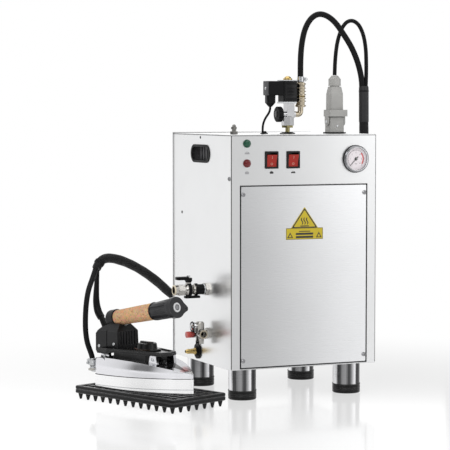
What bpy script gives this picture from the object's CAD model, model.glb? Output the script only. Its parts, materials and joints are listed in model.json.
"""Steam generator cabinet with a steam iron resting on a rubber mat at its left.

World units are metres with +Z up. Sizes below are millimetres unless noted. The cabinet
faces -Y, +X is its right side, and place() measures from the centre of its footprint at
floor level. The iron has its own frame, on_iron(): heel to tip, across, and up.
"""
import bpy, bmesh, json, math
from mathutils import Vector, Matrix


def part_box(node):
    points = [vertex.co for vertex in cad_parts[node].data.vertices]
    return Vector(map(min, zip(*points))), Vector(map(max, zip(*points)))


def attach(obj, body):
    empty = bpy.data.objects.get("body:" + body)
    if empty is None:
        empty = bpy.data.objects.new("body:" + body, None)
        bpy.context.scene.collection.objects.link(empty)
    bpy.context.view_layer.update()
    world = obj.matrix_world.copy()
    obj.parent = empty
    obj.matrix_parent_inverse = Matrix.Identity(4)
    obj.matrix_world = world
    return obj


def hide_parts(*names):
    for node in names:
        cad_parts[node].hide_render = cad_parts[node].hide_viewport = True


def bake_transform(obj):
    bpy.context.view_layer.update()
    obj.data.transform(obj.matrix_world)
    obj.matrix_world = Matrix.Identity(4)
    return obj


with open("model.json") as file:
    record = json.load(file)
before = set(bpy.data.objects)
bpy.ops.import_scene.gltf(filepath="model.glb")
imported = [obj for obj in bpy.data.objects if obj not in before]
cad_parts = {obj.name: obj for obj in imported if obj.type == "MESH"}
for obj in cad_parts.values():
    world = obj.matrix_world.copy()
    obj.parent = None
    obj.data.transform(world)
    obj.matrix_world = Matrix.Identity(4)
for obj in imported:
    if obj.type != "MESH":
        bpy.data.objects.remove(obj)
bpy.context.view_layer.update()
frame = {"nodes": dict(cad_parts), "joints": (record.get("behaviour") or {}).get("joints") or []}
scene = bpy.context.scene
nodes = frame["nodes"]
joints = {j["name"]: j for j in frame["joints"]}
X, Y, Z = Vector((1, 0, 0)), Vector((0, 1, 0)), Vector((0, 0, 1))

# ------------------------------------------------------------ local frames
lid_low, lid_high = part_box("top_panel")
CENTER_X, CENTER_Y = (lid_low.x + lid_high.x) / 2, (lid_low.y + lid_high.y) / 2
TOP = lid_high.z * 1000
SIDE = 141.0                       # half the cabinet's width
LEFT = -SIDE
PANEL_Y = -132.0                   # front face of the fascia
GAUGE_X, GAUGE_Z = 100.3, 422.1
BOILER_X, STEAM_X, ROCKER_Z = -64.1, -22.5, 422
COIL_X, ELBOW_X, PLUG_X = 10.5, 36.0, 105.0   # fittings on the lid, all at LID_Y
LID_Y = -40.0
COIL_Z = TOP + 54.5
KNOB_Z = 501
VALVE_Y, VALVE_Z = -25.2, 189.8    # axis of the blowdown valve
DIAL_U, DIAL_Z = 88, 70            # thermostat joint in the iron's frame
IRON_TURN = math.radians(-68.66)
IRON_ROT = Matrix.Rotation(IRON_TURN, 3, "Z")
IRON_BASE = Vector(joints["thermostat_turn"]["pos_m"]) - IRON_ROT @ Vector(
    (DIAL_U / 1000, 0, DIAL_Z / 1000))


def place(x, y, z):
    """Point given in mm from the centre of the cabinet's footprint."""
    return Vector((CENTER_X + x / 1000, CENTER_Y + y / 1000, z / 1000))


def on_iron(along, across, up):
    """Point given in mm along the iron: heel to tip, across, up."""
    return IRON_BASE + IRON_ROT @ Vector((along / 1000, across / 1000, up / 1000))


def on_front(x, z, lift=0.0):
    """Point on the fascia, moved lift mm out of it."""
    return place(x, PANEL_Y - lift, z)


# ------------------------------------------------------------ shader graphs
def rgba(tone):
    """Opaque colour from a grey level or from three channels."""
    return (*tone, 1) if isinstance(tone, tuple) else (tone, tone, tone, 1)


class Graph:
    """Shader node tree. Inputs are given as values or as the sockets that feed them."""

    def __init__(self, owner, clear=False):
        if clear:
            owner.use_nodes = True
            owner.node_tree.nodes.clear()
        self.tree = owner.node_tree

    def find(self, node_type):
        return next(n for n in self.tree.nodes if n.type == node_type)

    def surface(self):
        """Inputs of the Principled shader."""
        return self.find("BSDF_PRINCIPLED").inputs

    def source(self, name):
        """Socket that now feeds an input of the Principled shader."""
        return self.surface()[name].links[0].from_socket

    def feed(self, socket, value):
        if isinstance(value, bpy.types.NodeSocket):
            self.tree.links.new(value, socket)
        else:
            socket.default_value = value

    def node(self, kind, inputs=None, **settings):
        made = self.tree.nodes.new("ShaderNode" + kind)
        for key, value in settings.items():
            setattr(made, key, value)
        for key, value in (inputs or {}).items():
            self.feed(made.inputs[key], value)
        return made

    def math(self, operation, *operands, clamp=False):
        return self.node("Math", dict(enumerate(operands)), operation=operation,
                         use_clamp=clamp).outputs[0]

    def mix(self, factor, first, second, blend="MIX"):
        return self.node("Mix", {0: factor, 6: first, 7: second}, data_type="RGBA",
                         blend_type=blend).outputs[2]

    def times(self, color, factor):
        return self.mix(1, color, factor, "MULTIPLY")

    def remap(self, value, low, high, to_low=0, to_high=1, interpolation="LINEAR"):
        return self.node("MapRange", {0: value, 1: low, 2: high, 3: to_low, 4: to_high},
                         interpolation_type=interpolation).outputs[0]

    def noise(self, vector, scale, detail=2):
        return self.node("TexNoise", {"Vector": vector, "Scale": scale,
                                      "Detail": detail}).outputs["Fac"]

    def split(self, vector):
        return self.node("SeparateXYZ", {0: vector}).outputs

    def ramp(self, factor, stops, interpolation, blue=1.0):
        """Grey ramp of (position, level); blue scales that channel after the first stop."""
        made = self.node("ValToRGB", {0: factor})
        made.color_ramp.interpolation = interpolation
        elements = made.color_ramp.elements
        while len(elements) > 1:
            elements.remove(elements[-1])
        elements[0].position, elements[0].color = stops[0][0], rgba(stops[0][1])
        for position, level in stops[1:]:
            elements.new(position).color = (level, level, level * blue, 1)
        return made.outputs[0]

    def mix_shader(self, factor, first, second):
        return self.node("MixShader", {0: factor, 1: first, 2: second}).outputs[0]


def material(name, color, rough=0.4, metal=0, tone=0.06, tone_scale=40, rough_var=0.08,
             bump=None, grain=None, weave=None, edge=None, bevel=0.0005, coat=0, spec=0.5,
             dirt=0):
    """Principled material with uneven tone and roughness.

    tone, rough_var  how far colour (a share) and roughness vary
    bump             (strength, noise scale) of the fine relief
    grain            (x, y, z noise scale, streak share) of a drawn-out texture
    weave            (strength, turns around, turns per mm) of a braid over a tube's UVs
    edge             (strength, colour) of the wear on sharp edges
    bevel            radius in metres that softens edges in shading
    dirt             share of light lost in stained patches
    """
    made = bpy.data.materials.new(name)
    graph = Graph(made, clear=True)
    surface = graph.node("BsdfPrincipled", {
        "Metallic": metal, "Coat Weight": coat, "Specular IOR Level": spec})
    graph.node("OutputMaterial", {0: surface.outputs[0]})
    coords = graph.node("TexCoord").outputs
    relief_coord = coords["Object"]
    blotch = graph.noise(coords["Object"], tone_scale, 5)
    base = graph.mix(blotch, rgba(tuple(v * (1 - tone) for v in color)),
                     rgba(tuple(min(1, v * (1 + tone)) for v in color)))
    if grain:
        *stretch, streak = grain
        relief_coord = graph.node("Mapping", {"Vector": coords["Object"],
                                              "Scale": stretch}).outputs[0]
        wear = graph.noise(relief_coord, 1, 6)
        base = graph.times(base, graph.remap(wear, 0.3, 0.7, 1 - streak, 1 + streak))
    else:
        wear = graph.noise(coords["Object"], 60, 4)
    graph.feed(surface.inputs["Roughness"], graph.remap(
        wear, 0.3, 0.7, max(0.02, rough - rough_var), min(1, rough + rough_var)))
    normal = None
    if bevel:
        normal = graph.node("Bevel", {"Radius": bevel}, samples=4).outputs[0]
    if edge:
        strength, edge_color = edge
        facing = graph.node("VectorMath", {
            0: graph.node("NewGeometry").outputs["Normal"],
            1: graph.node("Bevel", {"Radius": 0.0011}, samples=4).outputs[0],
        }, operation="DOT_PRODUCT").outputs["Value"]
        worn = graph.math("MULTIPLY", graph.remap(facing, 0.995, 0.86, 0, strength), blotch)
        base = graph.mix(worn, base, rgba(edge_color))
    if dirt:
        stain = graph.noise(coords["Object"], 14, 8)
        base = graph.times(base, graph.remap(stain, 0.5, 0.75, 1, 1 - dirt))
    relief = None
    if weave:
        # Two diagonal wave sets make the braid.
        strength, around, along = weave
        mapped = graph.node("Mapping", {"Vector": coords["UV"], "Scale": (
            2 * math.pi * around, 2 * math.pi * along, 1)}).outputs[0]
        u, v, _ = graph.split(mapped)
        height = graph.math("MULTIPLY", *(graph.math("SINE", graph.math(op, u, v))
                                          for op in ("ADD", "SUBTRACT")))
        base = graph.times(base, graph.remap(height, -1, 1, 0.55, 1.35))
        relief = {"Strength": strength, "Distance": 0.0006, "Height": height}
    elif bump:
        strength, scale = bump
        relief = {"Strength": strength, "Distance": 0.0003,
                  "Height": graph.noise(relief_coord, scale, 4)}
    if relief:
        if normal:
            relief["Normal"] = normal
        normal = graph.node("Bump", relief).outputs[0]
    if normal:
        graph.feed(surface.inputs["Normal"], normal)
    graph.feed(surface.inputs["Base Color"], base)
    return made


# --------------------------------------------------------------- materials
SHEET = dict(metal=1, tone=0.02, rough_var=0.05, dirt=0.02)
FITTING = dict(metal=1, rough_var=0.10, bump=(0.08, 500))
CHROMED = dict(metal=1, rough_var=0.04, bump=(0.02, 900))
BRIGHT_STEEL = dict(metal=1, tone=0.06, rough_var=0.08, bump=(0.06, 600))
LAMP = dict(rough=0.12, tone=0.2, rough_var=0.04, tone_scale=300, bump=(0.1, 500))
PRINT = dict(rough=0.5, bevel=0)

brushed = material("brushed_panel", color=(0.80, 0.805, 0.81), rough=0.34, tone_scale=6,
                   grain=(9, 9, 1400, 0.012), bump=(0.015, 1),
                   edge=(1, (0.16, 0.16, 0.165)), **SHEET)
cover_steel = material("cover_panel", color=(0.66, 0.665, 0.675), rough=0.30, tone_scale=5,
                       grain=(9, 9, 1400, 0.010), bump=(0.012, 1),
                       edge=(1, (0.14, 0.14, 0.145)), **SHEET)
side_steel = material("side_panel", color=(0.84, 0.845, 0.85), rough=0.30, tone_scale=5,
                      grain=(1400, 6, 6, 0.02), bump=(0.015, 1),
                      edge=(1, (0.14, 0.14, 0.145)), **SHEET)
joint_grey = material("joint_grey", color=(0.05, 0.05, 0.052), metal=0.4, tone=0.08,
                      bump=(0.1, 400))
dark_gap = material("seam_dark", color=(0.004, 0.004, 0.004), rough=0.6, bump=(0.1, 400),
                    spec=0.05)
chrome = material("chrome", color=(0.60, 0.60, 0.61), rough=0.08, tone=0.03,
                  edge=(0.2, 0.95), **CHROMED)
leg_chrome = material("leg_chrome", color=(0.50, 0.50, 0.515), rough=0.13, metal=1, tone=0.04,
                      rough_var=0.05, grain=(5, 5, 900, 0.05), bump=(0.03, 1))
nickel = material("nickel", color=(0.44, 0.425, 0.40), rough=0.20, tone=0.10,
                  edge=(0.35, (0.92, 0.9, 0.86)), dirt=0.15, **FITTING)
dark_nickel = material("dark_nickel", color=(0.20, 0.195, 0.185), rough=0.18, tone=0.10,
                       edge=(0.5, (0.8, 0.78, 0.74)), dirt=0.15, **FITTING)
brass = material("brass", color=(0.50, 0.365, 0.14), rough=0.20, tone=0.10,
                 edge=(0.35, (0.85, 0.75, 0.5)), dirt=0.18, **FITTING)
brass_dull = material("brass_dull", color=(0.30, 0.265, 0.13), rough=0.20, tone=0.12,
                      edge=(0.4, (0.10, 0.09, 0.05)), dirt=0.25, **FITTING)
brass_pale = material("brass_nickelled", color=(0.50, 0.435, 0.33), rough=0.09, metal=1,
                      tone=0.10, rough_var=0.06, bump=(0.05, 500),
                      edge=(0.6, (0.13, 0.11, 0.08)), dirt=0.2)
steel = material("steel_bright", color=(0.52, 0.53, 0.54), rough=0.24, edge=(0.3, 0.95),
                 dirt=0.08, **BRIGHT_STEEL)
black_plastic = material("black_plastic", color=(0.0055, 0.0055, 0.006), rough=0.38, tone=0.15,
                         rough_var=0.10, bump=(0.25, 1400), edge=(0.5, 0.10), spec=0.10)
coil_black = material("coil_black", color=(0.006, 0.006, 0.0065), rough=0.36, tone=0.15,
                      rough_var=0.10, bump=(0.2, 1200), edge=(0.6, 0.12), spec=0.10)
gloss_black = material("gloss_black", color=(0.004, 0.004, 0.004), rough=0.18, tone=0.1,
                       rough_var=0.06, bump=(0.05, 800), edge=(0.4, 0.09), spec=0.3)
rubber = material("rubber_black", color=(0.0065, 0.0065, 0.0065), rough=0.5, tone=0.2,
                  rough_var=0.12, bump=(0.35, 900), edge=(0.6, 0.09), spec=0.10)
mat_rubber = material("mat_rubber", color=(0.006, 0.006, 0.0065), rough=0.34, tone=0.2,
                      rough_var=0.12, bump=(0.3, 700), edge=(0.9, (0.16, 0.16, 0.17)), spec=0.2)
foot_black = material("foot_black", color=(0.004, 0.004, 0.004), rough=0.20, tone=0.1,
                      rough_var=0.1, bump=(0.08, 900), edge=(0.8, 0.16), spec=0.22)
hose_rubber = material("hose_rubber", color=(0.0055, 0.0055, 0.006), rough=0.42, tone=0.15,
                       bevel=0, spec=0.12, weave=(0.35, 9, 0.55))
cable_rubber = material("cable_rubber", color=(0.005, 0.005, 0.0055), rough=0.36, tone=0.15,
                        rough_var=0.1, bump=(0.2, 1200), bevel=0, spec=0.12)
sleeve_braid = material("sleeve_braid", color=(0.0075, 0.0075, 0.008), rough=0.55, tone=0.2,
                        rough_var=0.1, bevel=0, spec=0.25, weave=(0.8, 14, 0.45))
heat_shrink = material("heat_shrink", color=(0.02, 0.02, 0.021), rough=0.5, tone=0.2,
                       rough_var=0.1, bump=(0.3, 700), bevel=0, spec=0.3)
red_gloss = material("rocker_red", color=(0.32, 0.011, 0.004), rough=0.20, tone=0.10,
                     rough_var=0.06, bump=(0.05, 700), edge=(0.4, (0.95, 0.35, 0.25)),
                     spec=0.35)
red_cap = material("red_cap", color=(0.78, 0.10, 0.08), rough=0.35, tone=0.10,
                   bump=(0.2, 900), edge=(0.4, (0.95, 0.45, 0.4)), coat=0.2)
lamp_green = material("lamp_green", color=(0.001, 0.065, 0.032), **LAMP)
lamp_red = material("lamp_red", color=(0.13, 0.002, 0.004), **LAMP)
white_mark = material("mark_white", color=(0.52, 0.24, 0.19), **PRINT)
grey_mark = material("mark_grey", color=(0.32, 0.32, 0.33), **PRINT)
black_mark = material("mark_black", color=(0.02, 0.02, 0.02), **PRINT)
red_mark = material("mark_red", color=(0.75, 0.10, 0.09), **PRINT)
dial_face = material("dial_face", color=(0.80, 0.74, 0.77), rough=0.55, tone=0.02, bevel=0)
dial_inputs = Graph(dial_face).surface()
dial_inputs["Emission Color"].default_value = (1, 0.99, 1, 1)
dial_inputs["Emission Strength"].default_value = 0.08
bezel_dark = material("bezel_dark_chrome", color=(0.16, 0.16, 0.17), rough=0.10, tone=0.05,
                      edge=(0.8, 0.8), **CHROMED)
screw_steel = material("screw_steel", color=(0.27, 0.27, 0.28), rough=0.28, edge=(0.4, 0.6),
                       **BRIGHT_STEEL)
cup_grey = material("cup_grey", color=(0.11, 0.11, 0.115), rough=0.45, tone=0.1,
                    bump=(0.3, 900))
yellow = material("label_yellow", color=(0.52, 0.4, 0.01), rough=0.42, tone=0.04,
                  rough_var=0.06, bump=(0.05, 500), bevel=0)
connector_grey = material("connector_grey", color=(0.37, 0.366, 0.352), rough=0.46, metal=0.25,
                          tone=0.05, rough_var=0.1, bump=(0.25, 900),
                          edge=(0.5, (0.78, 0.78, 0.76)), dirt=0.1)
plug_face = material("plug_face", color=(0.05, 0.05, 0.053), rough=0.5, tone=0.15,
                     bump=(0.2, 900), edge=(0.3, 0.3))
sole_metal = material("sole_aluminium", color=(0.95, 0.95, 0.955), rough=0.24, metal=1,
                      tone=0.01, rough_var=0.02, grain=(12, 12, 500, 0.01), bump=(0.003, 1),
                      edge=(0.3, 0.97))
shell_bright = material("shell_bright", color=(0.8, 0.8, 0.83), rough=0.16, metal=1, tone=0.02,
                        rough_var=0.05, bump=(0.03, 300), edge=(0.2, 0.98))
bakelite = material("bakelite", color=(0.0075, 0.0075, 0.0085), rough=0.36, tone=0.18,
                    rough_var=0.10, bump=(0.3, 1100), edge=(0.6, (0.14, 0.14, 0.145)),
                    spec=0.28)
shield_black = material("shield_black", color=(0.006, 0.006, 0.0065), rough=0.30, tone=0.18,
                        rough_var=0.10, bump=(0.25, 900), edge=(0.7, 0.22), spec=0.35)
cap_grey = material("cap_grey", color=(0.016, 0.016, 0.018), rough=0.38, tone=0.15,
                    rough_var=0.10, bump=(0.3, 1000), edge=(0.6, (0.18, 0.18, 0.185)),
                    spec=0.35)
button_grey = material("button_grey", color=(0.22, 0.22, 0.23), rough=0.35, tone=0.1,
                       bump=(0.1, 800), edge=(0.4, 0.5))
ring_white = material("ring_white", color=(0.62, 0.62, 0.63), tone=0.05, bump=(0.1, 800))
copper = material("copper", color=(0.78, 0.42, 0.27), rough=0.28, metal=1, tone=0.12,
                  rough_var=0.1, bump=(0.1, 400), dirt=0.25)
tank_steel = material("tank_steel", color=(0.62, 0.63, 0.64), rough=0.32, metal=1,
                      rough_var=0.1, grain=(20, 20, 700, 0.06), bump=(0.08, 1), dirt=0.1)
pump_paint = material("pump_paint", color=(0.16, 0.17, 0.19), rough=0.45, tone=0.1,
                      bump=(0.2, 700))
board_green = material("board_green", color=(0.03, 0.16, 0.07), tone=0.15, bump=(0.2, 500))
ivory = material("ivory_ring", color=(0.80, 0.72, 0.55), tone=0.05, bump=(0.1, 400))


def glass_material(name):
    """Clear pane that only mirrors on its outer faces."""
    made = bpy.data.materials.new(name)
    graph = Graph(made, clear=True)
    outer = graph.math("SUBTRACT", 1.0, graph.node("NewGeometry").outputs["Backfacing"])
    fresnel = graph.node("Fresnel", {"IOR": 1.45}).outputs[0]
    glossy = graph.node("BsdfGlossy", {"Roughness": 0.03, "Color": rgba((0.4, 0.4, 0.41))})
    graph.node("OutputMaterial", {0: graph.mix_shader(
        graph.math("MULTIPLY", fresnel, outer),
        graph.node("BsdfTransparent").outputs[0], glossy.outputs[0])})
    return made


def cork_material():
    """Pressed cork: pale cells with dark specks."""
    made = material("cork", color=(0.76, 0.455, 0.245), rough=0.78, tone=0.14, tone_scale=70,
                    rough_var=0.1, bevel=0)
    graph = Graph(made)
    coord = graph.find("TEX_COORD").outputs["Object"]
    cells = graph.node("TexVoronoi", {"Vector": coord, "Scale": 260}).outputs
    specks = graph.remap(graph.noise(coord, scale=330, detail=6), 0.56, 0.70)
    pale = graph.mix(0.30, graph.source("Base Color"), cells["Color"], "MULTIPLY")
    surface = graph.surface()
    graph.feed(surface["Base Color"], graph.mix(specks, pale, rgba((0.24, 0.12, 0.055))))
    graph.feed(surface["Normal"], graph.node("Bump", {
        "Strength": 0.5, "Distance": 0.0004, "Height": cells["Distance"]}).outputs[0])
    return made


gauge_glass = glass_material("gauge_glass")
cork = cork_material()

# Rim line of the shell's black deck: (mm along the iron, mm up).
DECK_RIM = [(0, 42.5), (8, 45), (14, 49), (26, 50), (33, 49), (38, 44.6), (60, 43.0),
            (90, 42.2), (112, 41.4), (116, 44), (120, 52), (136, 52), (140, 42), (146, 40.0),
            (165, 37.6), (185, 34.6), (200, 32.5), (205, 31.5)]


def shell_deck(finish):
    """Black deck over the bright shell: everything above a rim line that
    dips between the lugs and falls towards the tip, and a slot to the tip."""
    graph = Graph(finish)
    mapped = graph.node("Mapping", {
        "Vector": graph.node("TexCoord").outputs["Object"], "Location": IRON_BASE,
        "Rotation": (0, 0, IRON_TURN)}, vector_type="TEXTURE").outputs[0]
    along, across, up = graph.split(mapped)
    # The curve runs in shares: from -20 to 220 mm along, from 0 to 80 mm up.
    rim = graph.node("FloatCurve")
    curve_points = rim.mapping.curves[0].points
    stations = [((u + 20) / 240, height / 80) for u, height in DECK_RIM]
    curve_points[0].location = (0, stations[0][1])
    curve_points[1].location = (1, stations[-1][1])
    for station in stations:
        curve_points.new(*station)
    rim.mapping.update()
    graph.feed(rim.inputs["Value"], graph.math(
        "DIVIDE", graph.math("ADD", along, 0.020), 0.240, clamp=True))
    line = graph.math("MULTIPLY", rim.outputs[0], 0.080)
    above = graph.math("DIVIDE", graph.math("SUBTRACT", up, line), 0.0004, clamp=True)
    lug = graph.math("GREATER_THAN", up, 0.0525)      # lugs and ears stay bright
    # Towards the tip the deck narrows to a slot on the middle line.
    width = graph.math("MAXIMUM", graph.math(
        "MULTIPLY", graph.math("SUBTRACT", 0.190, along), 0.34), 0.0)
    inside = graph.math("LESS_THAN", graph.math("ABSOLUTE", across), width)
    deck = graph.math("MULTIPLY", graph.math("MULTIPLY", above, inside),
                      graph.math("SUBTRACT", 1.0, lug))
    surface = graph.surface()
    graph.feed(surface["Base Color"], graph.mix(
        deck, graph.source("Base Color"), rgba((0.012, 0.012, 0.013))))
    graph.feed(surface["Metallic"], graph.math("SUBTRACT", 1.0, deck))


def sheen_gradient(finish, across, up, low, high):
    """Slow tone change over a sheet; across and up are its rise per metre."""
    graph = Graph(finish)
    coord = graph.node("TexCoord").outputs["Object"]
    x, _, z = graph.split(coord)
    rise = graph.math("ADD", graph.math("MULTIPLY", x, across),
                      graph.math("MULTIPLY", z, up))
    rise = graph.math("ADD", rise, graph.math("MULTIPLY", graph.noise(coord, scale=5), 0.12))
    tone = graph.remap(rise, 0, 1, low, high, "SMOOTHSTEP")
    graph.feed(graph.surface()["Base Color"], graph.times(graph.source("Base Color"), tone))


def convex_band(finish, middle, half, tilt):
    """Rounds the look of the shell's side between its rim and the sole (metres)."""
    graph = Graph(finish)
    z = graph.split(graph.node("TexCoord").outputs["Object"])[2]
    share = graph.math("DIVIDE", graph.math("SUBTRACT", z, middle), half)
    height = graph.math("MULTIPLY", graph.math("MULTIPLY", share, share), -tilt * half / 2)
    graph.feed(graph.surface()["Normal"], graph.node("Bump", {
        "Strength": 1, "Distance": 1, "Height": height,
        "Normal": graph.source("Normal")}).outputs[0])


# Streaks around a polished tube: (share from left to right as seen, brightness).
TUBE_STREAKS = [(0.0, 0.62), (0.07, 0.98), (0.11, 0.80), (0.16, 0.10), (0.26, 0.09),
                (0.31, 0.25), (0.45, 0.36), (0.50, 0.24), (0.53, 0.08), (0.62, 0.09),
                (0.68, 0.30), (0.75, 0.60), (0.80, 0.95), (0.84, 0.12), (0.88, 0.05),
                (1.0, 0.07)]


def polished_tube(finish, right):
    """Streaks along an upright polished tube, laid out by the way its wall faces."""
    graph = Graph(finish)
    facing = graph.node("VectorMath", {
        0: graph.node("NewGeometry").outputs["True Normal"], 1: right,
    }, operation="DOT_PRODUCT").outputs["Value"]
    wobble = graph.noise(graph.node("TexCoord").outputs["Object"], scale=25)
    share = graph.math("ADD", graph.math("MULTIPLY", facing, 0.5), 0.5)
    share = graph.math("ADD", share, graph.math(
        "MULTIPLY", graph.math("SUBTRACT", wobble, 0.5), 0.03))
    streaks = graph.ramp(share, TUBE_STREAKS, "LINEAR", blue=1.01)
    graph.feed(graph.surface()["Base Color"],
               graph.times(graph.source("Base Color"), streaks))


shell_deck(shell_bright)
sheen_gradient(cover_steel, across=3.2, up=0.6, low=0.72, high=1.24)
sheen_gradient(brushed, across=3.0, up=0.0, low=0.74, high=0.98)
convex_band(shell_bright, middle=IRON_BASE.z + 0.032, half=0.012, tilt=0.30)
leg_polished = material("leg_polished", color=(0.97, 0.97, 0.98), rough=0.30, metal=1,
                        tone=0.02, rough_var=0.04, grain=(5, 5, 900, 0.03), bump=(0.02, 1),
                        bevel=0)
STREAK_TURN = math.radians(23.66)
polished_tube(leg_polished, right=(math.cos(STREAK_TURN), -math.sin(STREAK_TURN), 0))

# CAD pieces wearing each finish.
FINISHES = [
    (brushed, "base_pan front_fascia rear_panel top_panel"),
    (cover_steel, "front_cover"),
    (side_steel, "left_side_panel right_side_panel"),
    (black_plastic, "side_grips steam_knob blowdown_lever pressure_switch"),
    (screw_steel, "panel_screws"),
    (leg_polished, "leg_tubes"),
    (foot_black, "front_left_foot front_right_foot rear_left_foot rear_right_foot"),
    (lamp_green, "green_lamp"),
    (lamp_red, "red_lamp"),
    (gloss_black, "switch_housings thermostat_dial"),
    (red_gloss, "boiler_switch_rocker steam_switch_rocker"),
    (chrome, "gauge_case steam_valve_body drain_lever"),
    (black_mark, "gauge_needle"),
    (gauge_glass, "gauge_lens"),
    (rubber, "panel_grommets cable_boot iron_mat"),
    (brass_dull, "steam_port_nipple"),
    (coil_black, "solenoid_coil solenoid_plug"),
    (brass_pale, "hose_elbow"),
    (steel, "top_hose_clamp iron_inlet_pipe boiler_heater"),
    (connector_grey, "connector_base connector_hood connector_latch"),
    (dark_nickel, "vent_valve"),
    (nickel, "blowdown_valve drain_valve"),
    (brass, "inlet_barb"),
    (sole_metal, "iron_soleplate"),
    (shell_bright, "iron_shell"),
    (shield_black, "heat_shield"),
    (bakelite, "handle_bracket"),
    (cork, "cork_grip"),
    (cap_grey, "handle_front_cap"),
    (button_grey, "steam_button"),
    (tank_steel, "boiler_tank"),
    (pump_paint, "feed_pump"),
    (board_green, "control_board"),
    (copper, "internal_pipes"),
    (hose_rubber, "steam_hose"),
    (cable_rubber, "iron_cable solenoid_cable"),
    (sleeve_braid, "hose_sleeve"),
]
finish_of = {name: finish for finish, names in FINISHES for name in names.split()}
for name, obj in nodes.items():
    obj.data.materials.clear()
    obj.data.materials.append(finish_of[name])
    for polygon in obj.data.polygons:
        polygon.material_index = 0


def paint(node, *rules):
    """Other materials for the faces of a CAD piece, by the place of their centre (mm)."""
    mesh = nodes[node].data
    for mat, test in rules:
        mesh.materials.append(mat)
        slot = len(mesh.materials) - 1
        for polygon in mesh.polygons:
            x, y, z = polygon.center
            if test((x - CENTER_X) * 1000, (y - CENTER_Y) * 1000, z * 1000):
                polygon.material_index = slot


paint("solenoid_coil",
      (brass_dull, lambda x, y, z: z > TOP + 96.6),
      (steel, lambda x, y, z: z < TOP + 57.3 or TOP + 95.1 < z < TOP + 96.6))
paint("solenoid_plug", (plug_face, lambda x, y, z: x < COIL_X - 42.9))
paint("drain_lever",
      (red_cap, lambda x, y, z: x < LEFT - 34.0 and z < 117),
      (black_plastic, lambda x, y, z: LEFT - 34.0 <= x < LEFT - 28.6 and z < 117))
paint("blowdown_valve",
      (black_plastic, lambda x, y, z: LEFT - 23.8 < x < LEFT - 6 and z < 201 and
       math.hypot(y - VALVE_Y, z - VALVE_Z) > 7),
      (ivory, lambda x, y, z: x < LEFT - 62.5))
paint("steam_knob", (steel, lambda x, y, z: x > COIL_X - 12.9 and
                     math.hypot(y - LID_Y, z - KNOB_Z) < 3))
paint("gauge_case",
      (bezel_dark, lambda x, y, z: math.hypot(x - GAUGE_X, z - GAUGE_Z) > 21.1))
paint("side_grips", (cup_grey, lambda x, y, z: SIDE - 40 < abs(x) < SIDE - 6))


# ------------------------------------------------------------ mesh builders
def select_only(obj):
    bpy.context.view_layer.objects.active = obj
    for other in bpy.context.selected_objects:
        other.select_set(False)
    obj.select_set(True)


def add_object(name, mesh, mat, body, angle):
    """Link a mesh, smooth it up to the angle in degrees, let it ride on a body if named."""
    obj = bpy.data.objects.new(name, mesh)
    scene.collection.objects.link(obj)
    mesh.materials.append(mat)
    for polygon in mesh.polygons:
        polygon.use_smooth = True
    select_only(obj)
    bpy.ops.object.shade_smooth_by_angle(angle=math.radians(angle))
    obj.select_set(False)
    if body:
        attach(obj, body)
    return obj


def new_obj(name, verts, faces, mat, body, angle=40, corner_uvs=None):
    mesh = bpy.data.meshes.new(name)
    mesh.from_pydata([tuple(v) for v in verts], [], faces)
    mesh.update()
    if corner_uvs:
        layer = mesh.uv_layers.new(name="UVMap")
        for corner, uv in zip(layer.data, corner_uvs):
            corner.uv = uv
    return add_object(name, mesh, mat, body, angle)


def bmesh_obj(name, bm, mat, body, angle):
    mesh = bpy.data.meshes.new(name)
    bm.to_mesh(mesh)
    bm.free()
    return add_object(name, mesh, mat, body, angle)


def catmull(points, step=2.5):
    """Centripetal Catmull-Rom curve through the points, sampled about every step mm."""
    def between(a, b, time_a, time_b, time):
        span = time_b - time_a
        return a * ((time_b - time) / span) + b * ((time - time_a) / span)

    knots = [points[0] * 2 - points[1], *points, points[-1] * 2 - points[-2]]
    samples = []
    for i in range(1, len(knots) - 2):
        p0, p1, p2, p3 = knots[i - 1:i + 3]
        count = max(2, int((p2 - p1).length * 1000 / step))
        t0 = 0.0
        t1 = t0 + (p1 - p0).length ** 0.5
        t2 = t1 + (p2 - p1).length ** 0.5
        t3 = t2 + (p3 - p2).length ** 0.5
        for k in range(count):
            t = t1 + (t2 - t1) * k / count
            a1 = between(p0, p1, t0, t1, t)
            a2 = between(p1, p2, t1, t2, t)
            a3 = between(p2, p3, t2, t3, t)
            samples.append(between(between(a1, a2, t0, t2, t), between(a2, a3, t1, t3, t),
                                   t1, t2, t))
    samples.append(knots[-2])
    return samples


def soft_path(points, rounds, step=2.5):
    """Curve through the points with its bends evened out, ends kept."""
    path = catmull(points, step)
    for _ in range(rounds):
        path = [path[0]] + [(path[i - 1] + path[i] * 2 + path[i + 1]) / 4
                            for i in range(1, len(path) - 1)] + [path[-1]]
    return path


def tube_faces(rings, segs):
    """Quads between consecutive rings, then the two end caps."""
    faces = []
    for i in range(rings - 1):
        for k in range(segs):
            k2 = (k + 1) % segs
            faces.append((i * segs + k, i * segs + k2, (i + 1) * segs + k2,
                          (i + 1) * segs + k))
    faces.append(tuple(range(segs))[::-1])
    faces.append(tuple((rings - 1) * segs + k for k in range(segs)))
    return faces


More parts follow.
